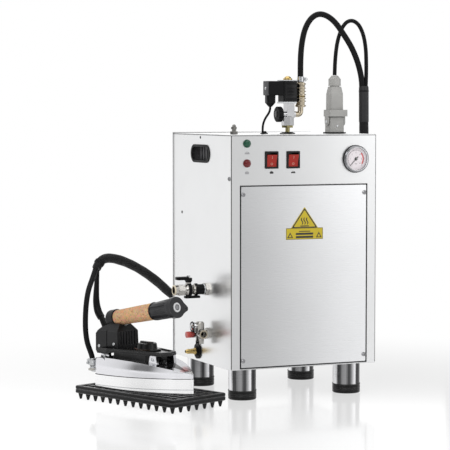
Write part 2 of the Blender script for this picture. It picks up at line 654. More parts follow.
def sweep(name, path, radius, mat, body="cabinet", segs=28):
    """Closed tube along the path. radius in mm, a number or f(share of length)."""
    count = len(path)
    tangents = [(path[min(i + 1, count - 1)] - path[max(i - 1, 0)]).normalized()
                for i in range(count)]
    lengths = [(b - a).length for a, b in zip(path, path[1:])]
    total = sum(lengths)
    side = tangents[0].orthogonal().normalized()
    verts = []
    run = 0
    for i, (point, tangent) in enumerate(zip(path, tangents)):
        if i:
            run += lengths[i - 1]
            turn = tangents[i - 1].cross(tangent)
            if turn.length > 1e-9:
                side = Matrix.Rotation(tangents[i - 1].angle(tangent), 3,
                                       turn.normalized()) @ side
            side = (side - tangent * side.dot(tangent)).normalized()
        other = tangent.cross(side)
        r = (radius(run / total) if callable(radius) else radius) / 1000
        for k in range(segs):
            angle = 2 * math.pi * k / segs
            verts.append(point + side * (r * math.cos(angle)) + other * (r * math.sin(angle)))
    # u runs round the tube from 0 to 1, v along it in mm; the caps stay at zero.
    uvs = []
    for i in range(count - 1):
        v0, v1 = (j * (total * 1000) / (count - 1) for j in (i, i + 1))
        for k in range(segs):
            u0, u1 = k / segs, (k + 1) / segs
            uvs += [(u0, v0), (u1, v0), (u1, v1), (u0, v1)]
    uvs += [(0, 0)] * (2 * segs)
    return new_obj(name, verts, tube_faces(count, segs), mat, body, corner_uvs=uvs)


def spokes(axis, segs):
    """Unit directions evenly spread round the axis."""
    side = axis.orthogonal().normalized()
    other = axis.cross(side)
    angles = [2 * math.pi * k / segs for k in range(segs)]
    return [side * math.cos(a) + other * math.sin(a) for a in angles]


def lathe(name, profile, mat, origin, axis, body="cabinet", segs=48):
    """Solid turned from (radius, height) pairs in mm along an axis from the origin."""
    axis = axis.normalized()
    around = spokes(axis, segs)
    verts = [origin + axis * (z / 1000) + d * (r / 1000) for r, z in profile for d in around]
    return new_obj(name, verts, tube_faces(len(profile), segs), mat, body, angle=35)


def annulus(name, profile, mat, origin, axis, body="cabinet", segs=48):
    """Ring turned from a closed profile of (radius, height) in mm."""
    axis = axis.normalized()
    verts = [origin + axis * (z / 1000) + d * (r / 1000)
             for d in spokes(axis, segs) for r, z in profile]
    faces = []
    count = len(profile)
    for k in range(segs):
        k2 = (k + 1) % segs
        for i in range(count):
            j = (i + 1) % count
            faces.append((k * count + i, k * count + j, k2 * count + j, k2 * count + i))
    return new_obj(name, verts, faces, mat, body, angle=35)


def collar(inner, outer, half, chamfer=0.2):
    """Ring profile; its outer corners lose chamfer mm of radius and 0.4 mm of height."""
    return [(inner, -half), (outer - chamfer, -half), (outer, -half + 0.4),
            (outer, half - 0.4), (outer - chamfer, half), (inner, half)]


def slab(name, outline, mat, origin, axes, thick, body="cabinet", bevel=0.0):
    """Plate: outline in mm over the first two axes, thickened along the third."""
    across, up, out = axes
    bm = bmesh.new()
    face = bm.faces.new([bm.verts.new(origin + across * (x / 1000) + up * (y / 1000))
                         for x, y in outline])
    grown = bmesh.ops.extrude_face_region(bm, geom=[face])
    for item in grown["geom"]:
        if isinstance(item, bmesh.types.BMVert):
            item.co += out * (thick / 1000)
    bmesh.ops.recalc_face_normals(bm, faces=bm.faces)
    if bevel:
        bmesh.ops.bevel(bm, geom=list(bm.edges), offset=bevel / 1000, segments=2,
                        affect="EDGES", profile=0.6)
    return bmesh_obj(name, bm, mat, body, 35)


def rect(x0, y0, x1, y1):
    return [(x0, y0), (x1, y0), (x1, y1), (x0, y1)]


def bar_outline(width, height):
    return rect(-width / 2, -height / 2, width / 2, height / 2)


def ring_outline(inner, outer, start, end, count=40):
    """Arc band; angles in degrees, clockwise from the second axis."""
    def arc(r, a, b):
        angles = [math.radians(a + (b - a) * i / count) for i in range(count + 1)]
        return [(r * math.sin(t), r * math.cos(t)) for t in angles]

    return arc(outer, start, end) + arc(inner, end, start)


FLAT_AXES = (X, Y, Z)
FRONT_AXES = (X, Z, -Y)
LEFT_AXES = (-Y, Z, -X)

# -------------------------------------------------- hoses, cable and sleeve
# Stations along each centre line: x, y, z in the cabinet's frame.
HOSE = [(36, -40, 558.5), (36, -40, 590), (36.4, -40.2, 607), (38.9, -40.6, 631.8),
        (45.3, -41.9, 657.2), (56.8, -44.3, 675.3), (70.1, -47, 682), (83.9, -49.9, 678.6),
        (99.3, -53.1, 666.4), (112.2, -55.8, 648.7), (127.7, -59, 624.6),
        (138.3, -61.1, 601.6), (145.3, -62.5, 578.7), (148.2, -63, 563), (149.4, -63, 546)]
CABLE = [(105, -40, 571.5), (105.4, -40.2, 590), (106.3, -40.6, 606), (109.6, -42, 632.7),
         (116.3, -45, 655.5), (124.5, -48.5, 668.3), (133.5, -52.3, 671.4),
         (143.4, -56.7, 665), (151.6, -60.2, 647.9), (156.3, -62.3, 622.3),
         (157.6, -62.8, 594.3), (157.4, -63, 566), (156.6, -63, 546)]
SLEEVE = [(152.6, -63, 552), (152.8, -63, 530), (153.2, -63, 480), (155.4, -60, 410),
          (158, -42, 310), (160, 6, 215), (161, 80, 172), (160, 138, 160), (132, 160, 154),
          (60, 163, 148), (-40, 162, 146), (-110, 160, 152), (-143, 148.5, 167.5),
          (-163, 138, 183), (-190.8, 124, 202), (-218.4, 110.5, 218), (-245.8, 97.2, 230.6),
          (-272, 84, 239.4), (-292, 75, 243), (-306, 68, 241.5), (-315, 62.6, 234.5),
          (-319.6, 60, 226)]
LOW_HOSE = [(-321.0, 58.4, 228), (-324.4, 55.6, 221), (-332.5, 47, 208), (-344.2, 34, 190),
            (-351.5, 25, 168), (-354.8, 20.5, 145), (-355, 19.6, 120), (-351, 21.8, 98),
            (-344, 25.6, 82)]
LOW_CABLE = [(-317.5, 62.5, 228), (-316.6, 65.5, 216), (-315, 71, 203), (-314.2, 76, 185),
             (-313.4, 79, 165)]
INLET_U, INLET_T = -8, -42         # the iron's inlet pipe, along and across
BOOT_FOOT, BOOT_TOP = Vector((-13, 0, 92)), Vector((-32.5, 0, 113))   # in the iron's frame
BOOT_DIRECTION = (BOOT_TOP - BOOT_FOOT).normalized()


def places(stations):
    return [place(*station) for station in stations]


def sleeve_radius(share):
    """Slightly uneven braid, drawn in at both ends."""
    bumpy = 0.12 * math.sin(share * 190) + 0.16 * math.sin(share * 61 + 1)
    lead = 0.5 * math.exp(-share * 90) + 0.4 * math.exp(-(1 - share) * 90)
    return 8.5 + bumpy - lead


def low_cable_radius(share):
    """Thickens towards the boot."""
    return 4.3 + 2.6 * min(1.0, max(0.0, (share - 0.25) / 0.6)) ** 1.2


hose = sweep("steam_hose_top", soft_path(places(HOSE), 10), 5.25, hose_rubber)
cable = sweep("iron_cable_top", soft_path(places(CABLE), 10), 3.6, cable_rubber)
for obj, node in ((hose, "steam_hose"), (cable, "iron_cable")):
    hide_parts(node)

sleeve_path = soft_path(places(SLEEVE), 14, step=3)
sleeve = sweep("hose_sleeve_braid", sleeve_path, sleeve_radius, sleeve_braid, body=None,
               segs=36)
low_hose_points = places(LOW_HOSE) + [on_iron(INLET_U, INLET_T, z) for z in (45, 38, 31.4)]
low_hose = sweep("steam_hose_lower", soft_path(low_hose_points, 8), 4.75, hose_rubber,
                 body=None)
low_cable_points = places(LOW_CABLE) + [on_iron(*(BOOT_TOP + BOOT_DIRECTION * reach))
                                        for reach in (12, 0.1)]
low_cable = sweep("iron_cable_lower", soft_path(low_cable_points, 6), low_cable_radius,
                  cable_rubber, body=None)
for obj, node, slot_name in ((sleeve, "hose_sleeve", "sleeve_black"),
                             (low_hose, "steam_hose", "cable_black"),
                             (low_cable, "iron_cable", "cable_black")):
    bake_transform(obj)
    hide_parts(node)
    obj.visible_glossy = False

# Shrink tube over the sleeve's upper end.
shrink = sweep("sleeve_shrink_tube", [p for p in sleeve_path if p.z > place(0, 0, 486).z],
               lambda share: 8.95 - 0.7 * math.exp(-share * 40), heat_shrink, segs=36)
shrink.visible_glossy = False


def sleeve_band(name, i, r, width, body="cabinet"):
    """Band round the sleeve at the i-th point of its path."""
    axis = (sleeve_path[i + 1] - sleeve_path[i - 1]).normalized()
    profile = [(r - 0.8, -width / 2), (r, -width / 2 + 0.3), (r, width / 2 - 0.3),
               (r - 0.8, width / 2)]
    return lathe(name, profile, black_plastic, sleeve_path[i], axis, body)


sleeve_band("sleeve_band_top", 3, r=9.3, width=3)
for k, share in enumerate((0.30, 0.62)):
    sleeve_band(f"sleeve_tie_{k}", int(len(sleeve_path) * share), r=9.1, width=4)
iron_tie = sleeve_band("sleeve_tie_iron", len(sleeve_path) - 5, r=9.4, width=5, body=None)
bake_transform(iron_tie)

# Thin cable from the coil's plug down through the lid.
hole_x = (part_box("solenoid_cable")[0].x + 0.002 - CENTER_X) * 1000
coil_cable_points = [
    (COIL_X - 34.5, -40, TOP + 50.5), (COIL_X - 34.5, -40, TOP + 44.5),
    (COIL_X - 37.2, -41.5, TOP + 38.5), (COIL_X - 46.5, -44.5, TOP + 27.5),
    (COIL_X - 50.4, -44.0, TOP + 17.5),
    (hole_x, -40, TOP + 9), (hole_x, -40, TOP + 3), (hole_x, -40, TOP - 12)]
coil_cable = sweep("solenoid_cable_soft", soft_path(places(coil_cable_points), 8, step=1.5),
                   2.0, cable_rubber, segs=20)
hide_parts("solenoid_cable")

# -------------------------------------------------------------- rubber mat
MAT_LENGTH, MAT_WIDTH = 253.0, 128.0
MAT_BOTTOM, MAT_TOP = 11.0, 24.0   # heights of the plate that stands on the pins
MAT_RIM, CELL_PITCH, CELL_RIB = 5.0, 18.6, 3.0
PIN_PITCH = 19.6
# Rim of the mat from top to underside: inset, height, corner radius.
MAT_EDGE = [(1.8, MAT_TOP, 4.2), (0.7, MAT_TOP - 0.5, 5.3), (0, MAT_TOP - 1.7, 6),
            (0, 18.9, 6), (0.9, 18.4, 5.1), (0.9, 17.5, 5.1), (0, 17.0, 6),
            (0, MAT_BOTTOM + 1.0, 6), (1.2, MAT_BOTTOM, 4.8)]
# Pin from its root down: radius, height.
PIN_PROFILE = [(4.5, MAT_BOTTOM + 0.6), (4.2, 9.0), (3.6, 7.0), (2.8, 3.6), (2.0, 0.8),
               (1.2, 0.15)]


def cell_lines(size):
    """Grid lines across one side of the mat, alternating rib and cell."""
    span = size - 2 * MAT_RIM - CELL_RIB
    count = round(span / CELL_PITCH)
    start = -size / 2 + MAT_RIM
    lines = [start]
    for i in range(count):
        lines += [start + span / count * i + CELL_RIB, start + span / count * (i + 1)]
    return lines + [size / 2 - MAT_RIM]


def rest_mat():
    """Moulded mat: smooth rim, square cells pressed in between low ridges,
    standing pins under it."""
    bm = bmesh.new()
    center = place(-270, -72, 0)

    def vert(x, y, z):
        return bm.verts.new(center + IRON_ROT @ Vector((x / 1000, y / 1000, z / 1000)))

    def join(upper, lower):
        for k in range(len(upper)):
            k2 = (k + 1) % len(upper)
            bm.faces.new((upper[k], upper[k2], lower[k2], lower[k]))

    def rounded_loop(inset, z, radius):
        loop = []
        for sx, sy, start in ((1, 1, 0), (-1, 1, 90), (-1, -1, 180), (1, -1, 270)):
            for k in range(5):
                angle = math.radians(start + 22.5 * k)
                loop.append(vert(
                    sx * (MAT_LENGTH / 2 - inset - radius) + radius * math.cos(angle),
                    sy * (MAT_WIDTH / 2 - inset - radius) + radius * math.sin(angle), z))
        return loop

    def pin(x, y, segs=16):
        angles = [2 * math.pi * k / segs for k in range(segs)]
        rings = []
        for r, z in PIN_PROFILE:
            rings.append([vert(x + r * math.cos(a), y + r * math.sin(a), z) for a in angles])
            if len(rings) > 1:
                join(rings[-2], rings[-1])
            else:
                bm.faces.new(rings[0][::-1])
        bm.faces.new(rings[-1])

    xs, ys = cell_lines(MAT_LENGTH), cell_lines(MAT_WIDTH)
    grid = [[vert(x, y, MAT_TOP - (MAT_TOP - MAT_BOTTOM)) for y in ys] for x in xs] \
        if False else [[vert(x, y, MAT_GRID_Z) for y in ys] for x in xs]
    cells = []
    for i in range(len(xs) - 1):
        for j in range(len(ys) - 1):
            face = bm.faces.new((grid[i][j], grid[i + 1][j], grid[i + 1][j + 1],
                                 grid[i][j + 1]))
            if i % 2 == 1 and j % 2 == 1:
                cells.append(face)
    bm.normal_update()
    bmesh.ops.inset_individual(bm, faces=cells, thickness=0.0018, depth=-0.0060)

    loops = [rounded_loop(*station) for station in MAT_EDGE]
    border = (grid[-1] + [row[-1] for row in grid[-2::-1]] + grid[0][-2::-1] +
              [row[0] for row in grid[1:-1]])
    grid_edges = [bm.edges.get((v, border[(k + 1) % len(border)]))
                  for k, v in enumerate(border)]
    rim_edges = [bm.edges.new((v, loops[0][(k + 1) % len(loops[0])]))
                 for k, v in enumerate(loops[0])]
    bmesh.ops.bridge_loops(bm, edges=grid_edges + rim_edges)
    for upper, lower in zip(loops, loops[1:]):
        join(upper, lower)
    bm.faces.new(loops[-1])

    for i in range(13):
        for j in range(7):
            pin(PIN_PITCH * (i - 6), PIN_PITCH * 0.96 * (j - 3))
    bmesh.ops.recalc_face_normals(bm, faces=bm.faces)
    obj = bmesh_obj("rest_mat_moulded", bm, mat_rubber, "cabinet", 30)
    obj.visible_glossy = False
    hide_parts("iron_mat")


MAT_GRID_Z = MAT_TOP
rest_mat()


# ------------------------------------------------------------ front panel art
def plate(name, outline, mat, x, z, lift=0.0, thick=0.12):
    """Thin printed or raised mark on the front: outline in mm, x right, z up."""
    slab(name, outline, mat, on_front(x, z, lift), FRONT_AXES, thick)


# Small pictograms: an iron outline, and a tank outline with a stem.
ICON_IRON = [(-5, -2.2), (5.6, -2.2), (4.2, 0.8), (2.0, 2.4), (-2.6, 2.4), (-2.6, 1.7),
             (1.6, 1.7), (2.6, 0.8), (-4.2, 0.8)]
ICON_TANK = [(-4, -2.6), (4, -2.6), (4, 1.2), (3, 2), (-3, 2), (-4, 1.2)]
LAMP_X, ROCKER_ICON_Z = -111.2, 400.2


def scaled(outline, size):
    return [(x * size, z * size) for x, z in outline]


def icon_iron(tag, x, z, size, mat):
    plate(f"icon_iron_{tag}", scaled(ICON_IRON, size), mat, x, z)


def icon_tank(tag, x, z, size, mat):
    plate(f"icon_tank_{tag}", scaled(ICON_TANK, size), mat, x, z)
    plate(f"icon_tank_stem_{tag}", scaled(bar_outline(1.1, 1.6), size), mat, x, z + 2.7 * size)


icon_iron("lamp", LAMP_X, 434.6, 0.95, grey_mark)
icon_tank("lamp", LAMP_X, 400.4, 0.95, grey_mark)
icon_tank("boiler", BOILER_X, ROCKER_ICON_Z, 0.85, black_mark)
icon_iron("steam", STEAM_X, ROCKER_ICON_Z, 0.85, black_mark)


def rocker_marks(which, x):
    """Bar above and ring below, printed on the tilted face of a rocker."""
    tilt = math.radians(11)

    def on_face(height, lift=0.25):
        """Point on the outer face, height mm above the pivot before tilting."""
        y = -(6.5 + abs(height) * 0.105) - lift
        return place(x, PANEL_Y + 5 + y * math.cos(tilt) - height * math.sin(tilt),
                     ROCKER_Z + y * math.sin(tilt) + height * math.cos(tilt))

    for tag, height, outline in (("on", 5.6, bar_outline(0.9, 4.6)),
                                 ("off", -5.6, ring_outline(1.35, 2.15, 0, 359.5, 36))):
        up = (on_face(height + 1.5) - on_face(height - 1.5)).normalized()
        slab(f"rocker_mark_{tag}_{which}", outline, white_mark, on_face(height, 0.02),
             (X, up, X.cross(up).normalized()), 0.12, f"rocker_{which}")


rocker_marks("boiler", BOILER_X)
rocker_marks("steam", STEAM_X)

# Gauge: a dark seal round the case, face disc, arcs, ticks and plain numbers.
GAUGE_START = -135                 # angle of zero; clockwise from the top, in degrees
gauge_low, gauge_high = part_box("gauge_case")
case_r = (gauge_high.x - gauge_low.x) * 500
annulus("gauge_seal_ring", [(case_r - 0.1, 0), (case_r + 0.75, 0), (case_r + 0.6, 0.9),
                            (case_r - 0.1, 0.9)],
        dark_gap, on_front(GAUGE_X, GAUGE_Z), -Y, segs=96)
lathe("gauge_face", [(0.2, 0), (19.9, 0), (19.9, 0.12), (0.2, 0.12)], dial_face,
      on_front(GAUGE_X, GAUGE_Z, 2.02), -Y)


def gauge_mark(name, outline, mat=black_mark, lift=2.15, thick=0.05, drop=0):
    plate(f"gauge_{name}", outline, mat, GAUGE_X, GAUGE_Z - drop, lift, thick)


gauge_mark("red_arc", ring_outline(13.2, 15.4, 45, 128), red_mark, thick=0.06)
gauge_mark("scale_arc", ring_outline(15.4, 15.8, GAUGE_START, 135, 60), lift=2.16)
for k in range(31):
    angle = math.radians(GAUGE_START + 9 * k)
    outward = Vector((math.sin(angle), math.cos(angle)))
    sideways = Vector((math.cos(angle), -math.sin(angle)))
    end, width = (18.4, 0.5) if k % 5 == 0 else (17.2, 0.28)
    gauge_mark(f"tick_{k}", [outward * r + sideways * s
                             for r, s in rect(15.8, -width / 2, end, width / 2)])


def gauge_number(k, radius=11.2, size=3.6):
    name = f"gauge_number_{k}"
    text = bpy.data.curves.new(name, "FONT")
    text.body = str(k)
    text.size = size / 1000
    text.align_x, text.align_y = "CENTER", "CENTER"
    text.extrude = 0.00003
    obj = bpy.data.objects.new(name, text)
    scene.collection.objects.link(obj)
    angle = math.radians(GAUGE_START + 45 * k)
    obj.location = on_front(GAUGE_X + radius * math.sin(angle),
                            GAUGE_Z + radius * math.cos(angle), 2.20)
    obj.rotation_euler = (math.radians(90), 0, 0)
    text.materials.append(black_mark)
    select_only(obj)
    bpy.ops.object.convert(target="MESH")
    obj.select_set(False)
    bm = bmesh.new()
    bm.from_mesh(obj.data)
    bmesh.ops.remove_doubles(bm, verts=bm.verts, dist=2e-6)
    bmesh.ops.dissolve_degenerate(bm, edges=bm.edges, dist=2e-6)
    bm.to_mesh(obj.data)
    bm.free()
    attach(obj, "cabinet")


for k in range(7):
    gauge_number(k)
hub_angles = [math.radians(15 * k) for k in range(24)]
gauge_mark("hub_mark", [(2.9 * math.cos(a), 2.9 * math.sin(a)) for a in hub_angles])
gauge_mark("unit_mark", bar_outline(5, 0.7), drop=8.8)

# Warning triangle with rising waves, and a band of blank bars below it.
SIGN_Z = 301.0                     # base of the triangle
SIGN_HALF, SIGN_HEIGHT = 27, 37.7


def sign_part(name, outline, mat, lift, thick, z=SIGN_Z):
    plate(f"warning_{name}", outline, mat, 0, z, lift, thick)


def soft_triangle(scale, reach):
    """Triangle scaled about its centre, corners rounded over reach mm."""
    middle = SIGN_HEIGHT / 3
    corners = [Vector((x * scale, (z - middle) * scale + middle))
               for x, z in ((-SIGN_HALF, 0), (SIGN_HALF, 0), (0, SIGN_HEIGHT))]
    points = []
    for i, corner in enumerate(corners):
        back = (corners[i - 1] - corner).normalized()
        onward = (corners[(i + 1) % 3] - corner).normalized()
        for k in range(6):
            share = k / 5
            points.append(corner + back * (reach * (1 - share) ** 1.4) +
                          onward * (reach * share ** 1.4))
    return points


def warning_border(lift=0.25, thick=0.06):
    """Black frame between two rounded triangles."""
    outer, inner = soft_triangle(0.93, 1.6), soft_triangle(0.79, 1.6)
    verts = [on_front(x, SIGN_Z + z, lift + depth)
             for depth in (0, thick) for loop in (outer, inner) for x, z in loop]
    n = len(outer)
    faces = []
    for i in range(n):
        j = (i + 1) % n
        faces += [(2 * n + i, 2 * n + j, 3 * n + j, 3 * n + i), (i, n + i, n + j, j),
                  (i, j, 2 * n + j, 2 * n + i), (n + i, 3 * n + i, 3 * n + j, n + j)]
    new_obj("warning_border", verts, faces, black_mark, "cabinet", angle=30)


def wave_outline(x):
    """Upright wavy line, thicker halfway up."""
    left, right = [], []
    for k in range(25):
        share = k / 24
        z = 6.5 + share * 12.5
        middle = x + 1.5 * math.sin(share * 2 * math.pi)
        half = 1.05 * (0.5 + 0.5 * math.sin(math.pi * share) ** 0.5)
        left.append((middle - half, z))
        right.append((middle + half, z))
    return left + right[::-1]


sign_part("plate", soft_triangle(1.0, 1.4), yellow, 0.0, 0.25)
warning_border()
for k in range(3):
    sign_part(f"wave_{k}", wave_outline((k - 1) * 5.0), black_mark, 0.25, 0.06)
sign_part("base_bar", bar_outline(17, 1.6), black_mark, 0.25, 0.06, z=305.2)
sign_part("band", rect(-36, -19.5, 36, 0.8), yellow, 0.0, 0.2)
for tag, z in (("top", 0.2), ("bottom", -18.9)):
    sign_part(f"band_line_{tag}", rect(-35.4, z - 0.35, 35.4, z + 0.35), black_mark, 0.2, 0.05)
for side in (-1, 1):
    x = 35.2 * side
    sign_part(f"band_side_{side + 1}", rect(x - 0.35, -18.9, x + 0.35, 0.2), black_mark,
              0.2, 0.05)
for side in (-1, 1):
    x = 28.0 * side
    sign_part(f"small_triangle_{side + 1}", [(x - 5.6, -16.6), (x + 5.6, -16.6), (x, -6.6)],
              black_mark, 0.2, 0.05)
    sign_part(f"small_triangle_face_{side + 1}",
              [(x - 3.0, -15.2), (x + 3.0, -15.2), (x, -9.8)], yellow, 0.25, 0.04)
for k, (z, height, width) in enumerate(((-5.2, 1.5, 22), (-9.6, 3.6, 34), (-15.2, 3.6, 34))):
    sign_part(f"blank_bar_{k}", rect(-width / 2, z - height / 2, width / 2, z + height / 2),
              black_mark, 0.2, 0.05)


# ------------------------------------------------- panel seams, grips and feet
def strip(name, low, high, mat):
    """Bevelled bar between two corners in the cabinet's frame."""
    height = high[2] - low[2]
    slab(name, rect(low[0], low[1], high[0], high[1]), mat, place(0, 0, low[2]), FLAT_AXES,
         height, bevel=min(0.15, height / 4))


# Black strip that shows in the gap around the cover: low corner, high corner.
for tag, low, high in (("left", (-124.0, -131.75, 58), (-122.35, -131.05, 378)),
                       ("right", (122.35, -131.75, 58), (124.0, -131.05, 378)),
                       ("top", (-124.0, -131.75, 376.15), (124.0, -131.05, 377.8)),
                       ("bottom", (-124.0, -131.75, 58.0), (124.0, -131.05, 59.65))):
    strip(f"cover_gap_seal_{tag}", low, high, dark_gap)

# Folded edges of the sheets show as thin dark joints.
for tag, low, high in (
        ("front_left", (-141.45, -132.35, 58), (-140.1, -131.2, TOP - 1.5)),
        ("front_right", (140.5, -132.3, 58), (141.35, -131.2, TOP - 1.5)),
        ("lid_front", (-141.2, -132.35, TOP - 2.1), (141.2, -131.4, TOP - 1.35)),
        ("lid_left", (-141.35, -131.5, TOP - 2.1), (-140.4, 131.5, TOP - 1.35)),
        ("lid_right", (140.4, -131.5, TOP - 2.1), (141.35, 131.5, TOP - 1.35)),
        ("pan_front", (-139.5, -131.9, 56.1), (139.5, -131.2, 57.0))):
    strip(f"sheet_joint_{tag}", low, high, joint_grey)

# Small plugs in the left side: y, z, radius.
for k, (y, z, r) in enumerate(((91.5, 321.7, 2.2), (4.9, 459.8, 1.9))):
    lathe(f"side_hole_plug_{k}", [(0.2, -0.6), (r + 0.5, -0.6), (r + 0.5, 0.25), (r, 0.5),
                                  (0.2, 0.5)], black_plastic, place(LEFT, y, z), -X, segs=24)

# Ribbed pad inside each grip cup.
for side in (-1, 1):
    x_low, x_high = sorted((side * 130.0, side * 128.2))
    for k in range(5):
        y = 4.4 - 26 + k * 12.0
        strip(f"grip_rib_{side + 1}_{k}", (x_low, y, 419.5), (x_high, y + 4.5, 442.5), cup_grey)

# Two beads and a top ring round each foot.
BEAD = [(23.2, -0.7), (25.1, -0.7), (25.35, 0), (25.1, 0.7), (23.2, 0.7)]
TOP_BEAD = [(25.06, -0.5), (25.3, -0.5), (25.5, 0.1), (25.3, 0.7), (25.06, 0.7)]
for foot, x, y in (("front_left", -103, -94), ("front_right", 103, -94),
                   ("rear_left", -103, 94), ("rear_right", 103, 94)):
    for ring, profile, z in ((f"bead_{foot}_0", BEAD, 6.7), (f"bead_{foot}_1", BEAD, 9.6),
                             (f"top_ring_{foot}", TOP_BEAD, 15.6)):
        annulus(f"foot_{ring}", profile, foot_black, place(x, y, z), Z, f"foot_{foot}", 64)

# ------------------------------------------------------- small iron pieces
HANDLE_SLOPE = math.radians(11)
HANDLE_AXIS = Vector((math.cos(HANDLE_SLOPE), 0, math.sin(HANDLE_SLOPE)))   # iron's frame
HANDLE_START = Vector((12, 0, 116))
# The same directions in the world: along and square to the handle, then the iron's own.
HANDLE_ALONG = (IRON_ROT @ HANDLE_AXIS).normalized()
HANDLE_UP = (IRON_ROT @ Vector((-HANDLE_AXIS.z, 0, HANDLE_AXIS.x))).normalized()
IRON_ACROSS = (IRON_ROT @ Y).normalized()
IRON_ALONG = (IRON_ROT @ X).normalized()


def on_handle(distance):
    """Point on the handle axis, distance mm from its rear end."""
    return on_iron(*(HANDLE_START + HANDLE_AXIS * distance))


def farthest(node, direction):
    """How far a CAD piece reaches in a direction of the iron's frame, in mm."""
    return max((IRON_ROT.transposed() @ (v.co - IRON_BASE)).dot(direction)
               for v in nodes[node].data.vertices) * 1000


# Ring round the steam button, flutes on the front cap, rings at the grip's ends.
cap_end = farthest("handle_front_cap", HANDLE_AXIS) - HANDLE_START.dot(HANDLE_AXIS)
annulus("button_ring", [(5.2, 0), (8.2, 0), (8.4, 0.3), (7.4, 1.0), (5.2, 1.0)], ring_white,
        on_handle(cap_end - 0.2), HANDLE_ALONG, "iron")
flute = [(102, -1.5), (cap_end - 7.5, -1.7), (cap_end - 7.5, 1.7), (102, 1.5)]
for k in range(12):
    if k in (2, 3, 4):
        continue                   # the top of the cap stays smooth
    angle = math.radians(30 * k)
    outward = HANDLE_UP * math.sin(angle) + IRON_ACROSS * math.cos(angle)
    slab(f"cap_flute_{k}", flute, cap_grey, on_handle(0) + outward * 0.015,
         (HANDLE_ALONG, HANDLE_ALONG.cross(outward).normalized(), outward), 1.6, "iron",
         bevel=0.6)
annulus("cap_joint_ring", [(14.6, 0), (15.9, 0), (16.1, 0.4), (16.1, 1.6), (15.9, 2.0),
                           (14.6, 2.0)], gloss_black, on_handle(98.4), HANDLE_ALONG, "iron")
annulus("cork_collar_rear", [(12.9, -0.6), (14.4, -0.6), (14.4, 0.7), (13.9, 1.0),
                             (12.9, 1.0)], bakelite, on_handle(0.3), HANDLE_ALONG, "iron")

# Screws in the rear ears and front lugs: along, across, up, radius.
for side in (-1, 1):
    for tag, u, t, z, r in (("rear", 21, 39.2, 52, 3.2), ("front", 128, 23.7, 54, 2.8)):
        lathe(f"iron_lug_screw_{tag}_{side + 1}",
              [(r, 0), (r, 0.9), (r * 0.75, 1.5), (r * 0.3, 1.5), (r * 0.3, 0.9)], steel,
              on_iron(u, t * side, z), IRON_ROT @ Vector((0, side, 0)), "iron", 24)

# Worm-drive clamp and nut where the hose meets the iron.
CLAMP_UP = 42
annulus("iron_hose_clamp_band", collar(4.9, 6.5, 3.6), steel,
        on_iron(INLET_U, INLET_T, CLAMP_UP), Z, "iron")
slab("iron_hose_clamp_box", bar_outline(8.5, 6.2), steel, on_iron(-15.6, INLET_T, CLAMP_UP),
     (IRON_ACROSS, Z, IRON_ALONG), 2.2, "iron", bevel=0.5)
lathe("iron_hose_clamp_screw", [(0.4, 0), (1.9, 0), (2.2, 0.4), (2.2, 10.6), (1.9, 11.0),
                                (0.4, 11.0)],
      steel, on_iron(-16.0, -47.5, CLAMP_UP), IRON_ACROSS, "iron", 20)
annulus("iron_pipe_nut", collar(4.4, 7.8, 2, chamfer=0.4), nickel,
        on_iron(INLET_U, INLET_T, 26), Z, "iron", 6)

# Half outline of the sole from heel to tip: along, half width.
sole_length = farthest("iron_soleplate", X)
SOLE_SIDE = [(0, 36), (0.8, 41), (3.2, 45.6), (8, 49.2), (16, 51.2), (35, 52.7), (60, 53),
             (85, 51.2), (110, 47.2), (135, 40.4), (158, 31.3), (178, 20.4), (192, 10.6),
             (sole_length - 3.4, 4.2), (sole_length - 0.6, 1.6), (sole_length, 0)]
sole_curve = [p * 1000 for p in catmull([Vector((u, w, 0)) / 1000 for u, w in SOLE_SIDE], 3)]


def sole_band(name, lift, height, grow, mat):
    """Thin band round the sole's outline, lift mm over the joint with the shell."""
    side = [(p.x, p.y + grow) for p in sole_curve[:-1]]
    ring = side + [(sole_length + grow, 0)] + [(u, -w) for u, w in reversed(side)]
    verts, faces = [], []
    n = len(ring)
    # Each corner of the band's section: rise, inset.
    for rise, inset in ((0, 0), (height, 0), (height, 1.2), (0, 1.2)):
        for u, w in ring:
            joint_z = 19.3 + (u + 10) * (25.2 - 19.3) / (sole_length + 20)
            verts.append(on_iron(
                (u - sole_length / 2) * (1 - inset / 120) + sole_length / 2,
                w * (1 - inset / 40), joint_z + lift + rise))
    for a in range(4):
        b = (a + 1) % 4
        for i in range(n):
            j = (i + 1) % n
            faces.append((a * n + i, a * n + j, b * n + j, b * n + i))
    new_obj(name, verts, faces, mat, "iron")


sole_band("iron_joint_line", lift=-0.35, height=0.9, grow=0.08, mat=dark_gap)
sole_band("iron_sole_edge_bead", lift=-19.0, height=1.4, grow=0.12, mat=steel)

# Screws on both sides of the handle bracket: along, up.
for side in (-1, 1):
    for k, (u, z) in enumerate(((-10, 66), (29, 72))):
        lathe(f"bracket_screw_{side + 1}_{k}",
              [(3.0, -0.4), (3.0, 0.5), (2.4, 1.0), (0.8, 1.0), (0.8, 0.5)], steel,
              on_iron(u, 25.0 * side, z), IRON_ROT @ Vector((0, side, 0)), "iron", 24)

# Ticks and pointer on the thermostat dial.
for k in range(24):
    angle = math.radians(-130 + 260 * k / 23)
    end, width = (22.2, 0.55) if k % 4 == 0 else (21.3, 0.3)
    outward = IRON_ROT @ Vector((-math.cos(angle), math.sin(angle), 0))
    sideways = IRON_ROT @ Vector((math.sin(angle), math.cos(angle), 0))
    slab(f"dial_tick_{k}", rect(20.0, -width / 2, end, width / 2), white_mark,
         on_iron(DIAL_U, 0, 68.25), (outward, sideways, Z), 0.12, "dial")
slab("dial_pointer", rect(4, -0.5, 12.6, 0.5), white_mark, on_iron(DIAL_U, 0, 80.38),
     (IRON_ALONG, IRON_ACROSS, Z), 0.12, "dial")


